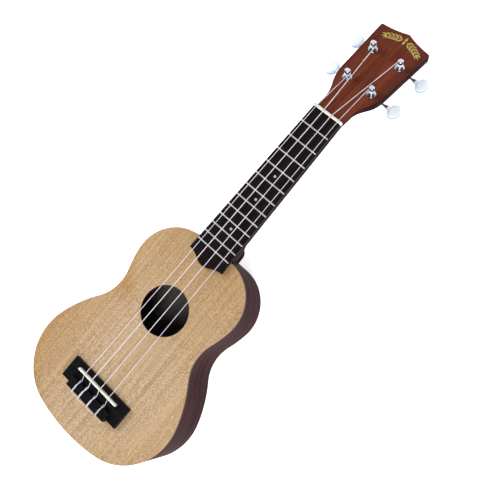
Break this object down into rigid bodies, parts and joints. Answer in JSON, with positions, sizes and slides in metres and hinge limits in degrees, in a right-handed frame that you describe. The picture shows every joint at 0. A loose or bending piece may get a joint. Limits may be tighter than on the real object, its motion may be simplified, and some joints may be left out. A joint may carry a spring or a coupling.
{
  "type": "soprano ukulele",
  "caption": "Small figure-eight wooden instrument with round soundhole, fretted neck, tie bridge and geared tuning posts, lying on its flat back.",
  "frame": {"origin": "point of the flat back's outer face straight behind the saddle line, on the centre line", "axes": "+Z out of the flat back through the body, +Y along the instrument from the tail to the headstock, +X to the treble side"},
  "size_m": [0.1786, 0.5295, 0.0753],
  "materials": {
    "top_wood": "satin clear lacquer over pale straight-grained softwood",
    "body_wood": "dark brown satin stain",
    "neck_wood": "red-brown satin stain",
    "inner_wood": "bare wood",
    "fretboard_wood": "black stained, oiled",
    "bridge_wood": "black stained, satin",
    "dot_inlay": "pearl",
    "fret_metal": "polished nickel silver",
    "white_nut": "satin white",
    "string_nylon": "clear to milky",
    "post_chrome": "polished",
    "tuner_metal": "nickel plated",
    "wheel_brass": "plain",
    "button_pearl": "pearl white, glossy"
  },
  "bodies": {
    "instrument": {"top_plate": "top_wood", "back_plate": "body_wood", "side_bass": "body_wood", "side_treble": "body_wood", "top_lining_bass": "inner_wood", "top_lining_treble": "inner_wood", "back_lining_bass": "inner_wood", "back_lining_treble": "inner_wood", "neck_block": "inner_wood", "tail_block": "inner_wood", "top_braces": "inner_wood", "back_braces": "inner_wood", "bridge_plate": "inner_wood", "neck": "neck_wood", "heel_cap": "neck_wood", "fretboard": "fretboard_wood", "position_dots": "dot_inlay", "frets": "fret_metal", "nut": "white_nut", "bridge": "bridge_wood", "saddle": "white_nut", "plate_screws": "tuner_metal", "string_g": "string_nylon", "ferrule_g": "post_chrome", "tuner_plate_g": "tuner_metal", "string_c": "string_nylon", "ferrule_c": "post_chrome", "tuner_plate_c": "tuner_metal", "string_e": "string_nylon", "ferrule_e": "post_chrome", "tuner_plate_e": "tuner_metal", "string_a": "string_nylon", "ferrule_a": "post_chrome", "tuner_plate_a": "tuner_metal"},
    "post_turning_g": {"post_g": "post_chrome", "wheel_g": "wheel_brass", "wheel_screw_g": "tuner_metal", "winding_g": "string_nylon"},
    "button_turning_g": {"worm_g": "tuner_metal", "button_g": "button_pearl"},
    "post_turning_c": {"post_c": "post_chrome", "wheel_c": "wheel_brass", "wheel_screw_c": "tuner_metal", "winding_c": "string_nylon"},
    "button_turning_c": {"worm_c": "tuner_metal", "button_c": "button_pearl"},
    "post_turning_e": {"post_e": "post_chrome", "wheel_e": "wheel_brass", "wheel_screw_e": "tuner_metal", "winding_e": "string_nylon"},
    "button_turning_e": {"worm_e": "tuner_metal", "button_e": "button_pearl"},
    "post_turning_a": {"post_a": "post_chrome", "wheel_a": "wheel_brass", "wheel_screw_a": "tuner_metal", "winding_a": "string_nylon"},
    "button_turning_a": {"worm_a": "tuner_metal", "button_a": "button_pearl"}
  },
  "joints": [
    {"name": "button_turn_g", "type": "hinge", "parent": "instrument", "child": "button_turning_g", "pos_m": [-0.0155, 0.3936, 0.02158], "axis": [1, 0, 0], "continuous": true},
    {"name": "post_turn_g", "type": "hinge", "parent": "instrument", "child": "post_turning_g", "pos_m": [-0.0155, 0.39177, 0.0392], "axis": [0, 0.2808, 0.9598], "continuous": true},
    {"name": "button_turn_c", "type": "hinge", "parent": "instrument", "child": "button_turning_c", "pos_m": [-0.0173, 0.43314, 0.01001], "axis": [1, 0, 0], "continuous": true},
    {"name": "post_turn_c", "type": "hinge", "parent": "instrument", "child": "post_turning_c", "pos_m": [-0.0173, 0.43132, 0.02763], "axis": [0, 0.2808, 0.9598], "continuous": true},
    {"name": "button_turn_e", "type": "hinge", "parent": "instrument", "child": "button_turning_e", "pos_m": [0.0173, 0.43314, 0.01001], "axis": [1, 0, 0], "continuous": true},
    {"name": "post_turn_e", "type": "hinge", "parent": "instrument", "child": "post_turning_e", "pos_m": [0.0173, 0.43132, 0.02763], "axis": [0, 0.2808, 0.9598], "continuous": true},
    {"name": "button_turn_a", "type": "hinge", "parent": "instrument", "child": "button_turning_a", "pos_m": [0.0155, 0.3936, 0.02158], "axis": [1, 0, 0], "continuous": true},
    {"name": "post_turn_a", "type": "hinge", "parent": "instrument", "child": "post_turning_a", "pos_m": [0.0155, 0.39177, 0.0392], "axis": [0, 0.2808, 0.9598], "continuous": true}
  ],
  "couplings": [
    {"joint": "post_turn_g", "follows": "button_turn_g", "ratio": 0.071429},
    {"joint": "post_turn_c", "follows": "button_turn_c", "ratio": 0.071429},
    {"joint": "post_turn_e", "follows": "button_turn_e", "ratio": 0.071429},
    {"joint": "post_turn_a", "follows": "button_turn_a", "ratio": 0.071429}
  ]
}
